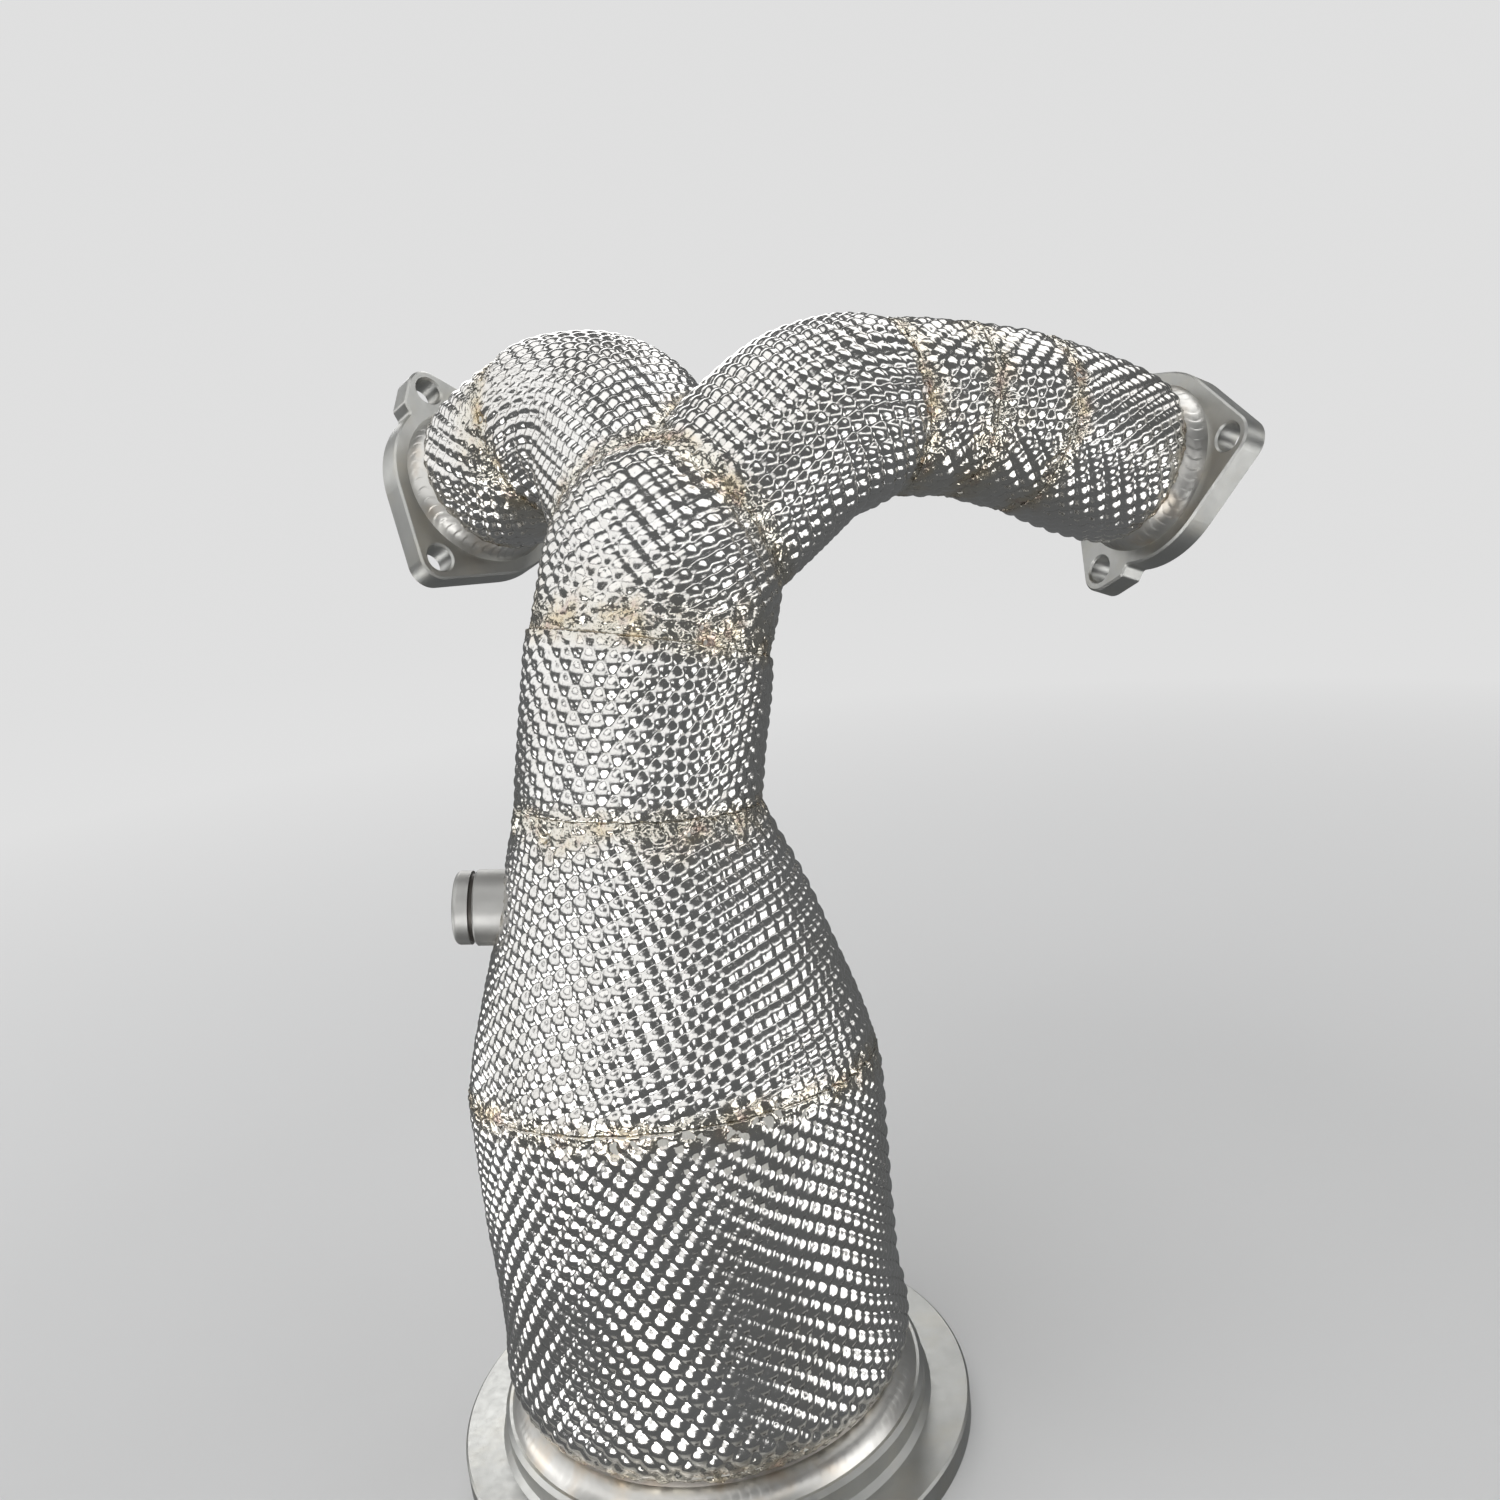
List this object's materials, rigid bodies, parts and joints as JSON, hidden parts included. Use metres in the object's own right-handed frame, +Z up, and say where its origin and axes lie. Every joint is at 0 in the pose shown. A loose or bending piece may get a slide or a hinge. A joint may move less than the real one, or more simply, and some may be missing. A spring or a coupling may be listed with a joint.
{
  "type": "exhaust manifold",
  "caption": "Branched exhaust manifold joining inlet pipes into a catalyst can and round outlet flange, wrapped in embossed foil heat shielding.",
  "frame": {"origin": "centre of the outlet flange's sealing face", "axes": "+Z up the catalyst axis, +X towards the long right-hand branch, +Y towards the engine side; both branches leave towards +Y"},
  "size_m": [0.3425, 0.277, 0.3998],
  "materials": {
    "embossed_foil": "polished, embossed",
    "tube_steel": "mill finish",
    "flange_steel": "satin, blasted",
    "weld_bead": "satin",
    "fitting_steel": "satin, blasted",
    "washer_steel": "dark, oxidised",
    "ceramic": "matte, porous",
    "mat": "matte, fibrous",
    "insulation": "matte, fibrous"
  },
  "bodies": {
    "manifold": {"boss_weld": "weld_bead", "can_insulation": "insulation", "can_shield": "embossed_foil", "catalyst_can": "tube_steel", "catalyst_mat": "mat", "catalyst_substrate": "ceramic", "collector_insulation": "insulation", "cone": "tube_steel", "cone_insulation": "insulation", "cone_shield": "embossed_foil", "dome_shield": "embossed_foil", "left_elbow_shield": "embossed_foil", "left_elbow_tube": "tube_steel", "left_flange": "flange_steel", "left_flange_weld": "weld_bead", "left_neck_insulation": "insulation", "left_neck_shield": "embossed_foil", "left_neck_tube": "tube_steel", "outlet_flange": "flange_steel", "outlet_weld": "weld_bead", "right_elbow_shield": "embossed_foil", "right_elbow_tube": "tube_steel", "right_flange": "flange_steel", "right_flange_weld": "weld_bead", "right_neck_insulation": "insulation", "right_neck_shield": "embossed_foil", "right_neck_tube": "tube_steel", "right_ring_1": "tube_steel", "right_ring_1_shield": "embossed_foil", "right_ring_2": "tube_steel", "right_ring_2_shield": "embossed_foil", "right_ring_insulation": "insulation", "sensor_boss": "fitting_steel", "trunk_elbow": "tube_steel", "trunk_insulation": "insulation", "trunk_shield": "embossed_foil", "trunk_tube": "tube_steel"},
    "washer": {"plug_washer": "washer_steel"},
    "plug": {"sensor_plug": "fitting_steel"}
  },
  "joints": [
    {"name": "plug_travel", "type": "slide", "parent": "manifold", "child": "washer", "axis": [-0.9945, 0, 0.1045], "range_m": [0, 0.0091]},
    {"name": "plug_turn", "type": "hinge", "parent": "washer", "child": "plug", "pos_m": [-0.0596, -0.002, 0.2095], "axis": [-0.9945, 0, 0.1045], "range_deg": [0, 2160]}
  ],
  "couplings": [
    {"joint": "plug_travel", "follows": "plug_turn", "m_per_rad": 0.00023873}
  ]
}
